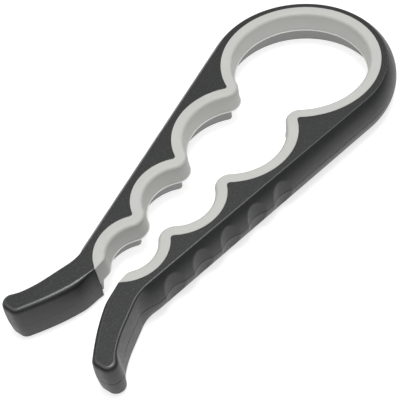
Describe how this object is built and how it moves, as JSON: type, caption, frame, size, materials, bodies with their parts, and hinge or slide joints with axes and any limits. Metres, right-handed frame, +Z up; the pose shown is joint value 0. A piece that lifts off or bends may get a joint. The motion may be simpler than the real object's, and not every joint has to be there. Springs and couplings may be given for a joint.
{
  "type": "jar and bottle opener",
  "caption": "Hand-held grip wrench for jar lids and bottle caps: two plastic arms joined in a sprung loop, with a soft liner in graded round openings.",
  "frame": {"origin": "under the middle of the bounding box, on the plane that the underside rests on", "axes": "+X from the handles to the crown of the loop, +Y to the left arm, +Z up through the flat faces"},
  "size_m": [0.2485, 0.1008, 0.0224],
  "materials": {
    "dark_plastic": "moulded polypropylene, fine grain on the flat faces, smoother on the sides",
    "grey_liner": "soft thermoplastic elastomer, satin",
    "screw_steel": "zinc plated"
  },
  "bodies": {
    "right_arm": {"upper_shell_right": "dark_plastic", "lower_shell_right": "dark_plastic", "upper_liner_right": "grey_liner", "lower_liner_right": "grey_liner", "screw_right_1": "screw_steel", "screw_right_2": "screw_steel", "screw_right_3": "screw_steel", "screw_right_4": "screw_steel"},
    "left_arm": {"upper_shell_left": "dark_plastic", "lower_shell_left": "dark_plastic", "upper_liner_left": "grey_liner", "lower_liner_left": "grey_liner", "screw_left_1": "screw_steel", "screw_left_2": "screw_steel", "screw_left_3": "screw_steel", "screw_left_4": "screw_steel"}
  },
  "joints": [
    {"name": "crown_flex", "type": "hinge", "parent": "right_arm", "child": "left_arm", "pos_m": [0.1098, 0, 0.0112], "axis": [0, 0, 1], "range_deg": [0, 3], "stiffness_Nm_per_rad": 5}
  ]
}
